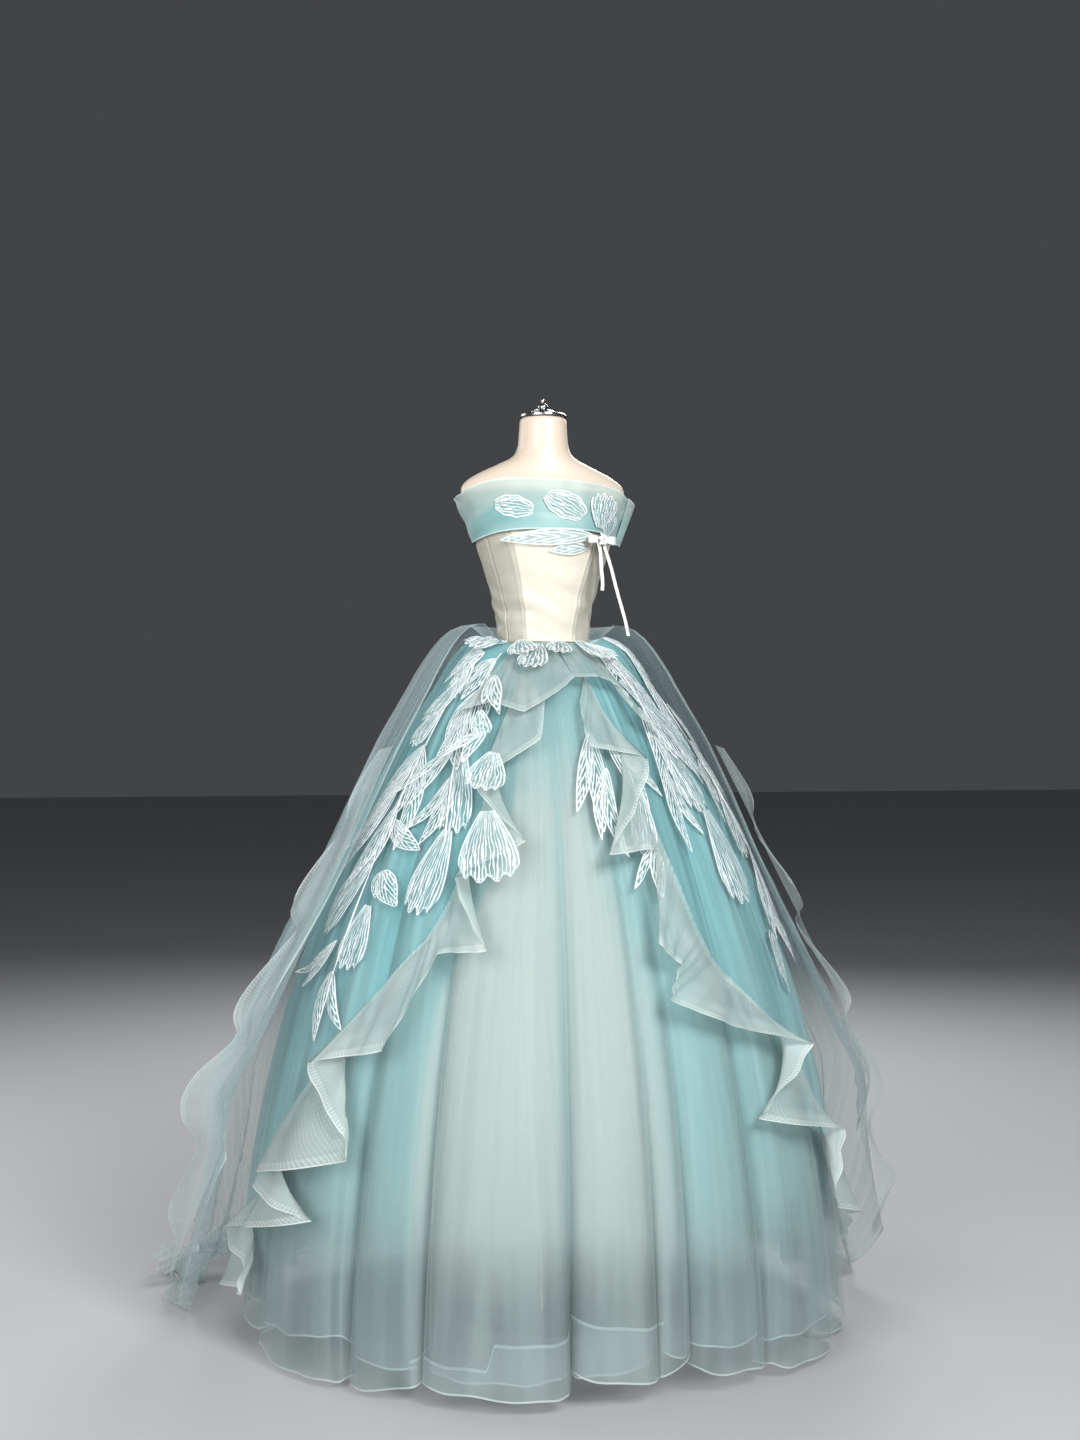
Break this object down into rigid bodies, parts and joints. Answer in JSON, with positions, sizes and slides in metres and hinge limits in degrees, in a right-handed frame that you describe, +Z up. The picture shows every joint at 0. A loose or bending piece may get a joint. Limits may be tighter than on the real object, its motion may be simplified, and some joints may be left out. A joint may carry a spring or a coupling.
{
  "type": "ball gown on dress form",
  "caption": "Strapless aqua ball gown with an off-the-shoulder band, embroidered overskirt, cascading flounces and sheer train, on a limbless dress form with a pole and round base.",
  "frame": {"origin": "centre of the stand's underside, on the floor", "axes": "+Z up along the pole, the gown's front faces -Y, the wearer's left is +X"},
  "size_m": [1.5834, 1.7274, 1.9893],
  "materials": {
    "satin": "duchess satin",
    "band_organza": "crisp organza",
    "tulle": "soft pleated tulle, paler towards the hem",
    "lining": "matte",
    "overskirt": "tulle",
    "train": "very sheer tulle",
    "flounce": "organza with a horsehair hem",
    "lace": "corded embroidery",
    "ribbon": "double-faced satin",
    "form_shell": "smooth, skin-pink",
    "chrome": "polished",
    "steel": "satin"
  },
  "bodies": {
    "root": {"band_leaf": "lace", "band_tulip_1": "lace", "band_tulip_2": "lace", "band_tulip_3": "lace", "bodice_back_left": "satin", "bodice_back_right": "satin", "bodice_centre_front": "satin", "bodice_side_front_left": "satin", "bodice_side_front_right": "satin", "bodice_side_left": "satin", "bodice_side_right": "satin", "bow_knot": "ribbon", "bow_loop_left": "ribbon", "bow_loop_right": "ribbon", "bow_tail_long": "ribbon", "bow_tail_short": "ribbon", "branch_inner_left": "lace", "branch_inner_right": "lace", "branch_middle_left": "lace", "branch_middle_right": "lace", "branch_outer_left": "lace", "branch_outer_right": "lace", "bust_band_back_left": "band_organza", "bust_band_back_right": "band_organza", "bust_band_front": "band_organza", "bust_leaf_lower": "lace", "bust_leaf_upper": "lace", "flounce_left": "flounce", "flounce_right": "flounce", "form_neck_cap": "chrome", "form_torso": "form_shell", "lining_back_left": "lining", "lining_back_right": "lining", "lining_front": "lining", "overskirt_back": "overskirt", "overskirt_left": "overskirt", "overskirt_right": "overskirt", "stand_base": "steel", "stand_pole": "steel", "swag_left": "flounce", "swag_right": "flounce", "train_back": "train", "train_flounce_left": "flounce", "train_flounce_right": "flounce", "train_side_left": "train", "train_side_right": "train", "tulle_skirt_back_left": "tulle", "tulle_skirt_back_right": "tulle", "tulle_skirt_front": "tulle", "tulle_skirt_side_left": "tulle", "tulle_skirt_side_right": "tulle", "waist_tulip_1": "lace", "waist_tulip_2": "lace", "waist_tulip_3": "lace", "waist_tulip_4": "lace", "waist_tulip_5": "lace"}
  },
  "joints": []
}
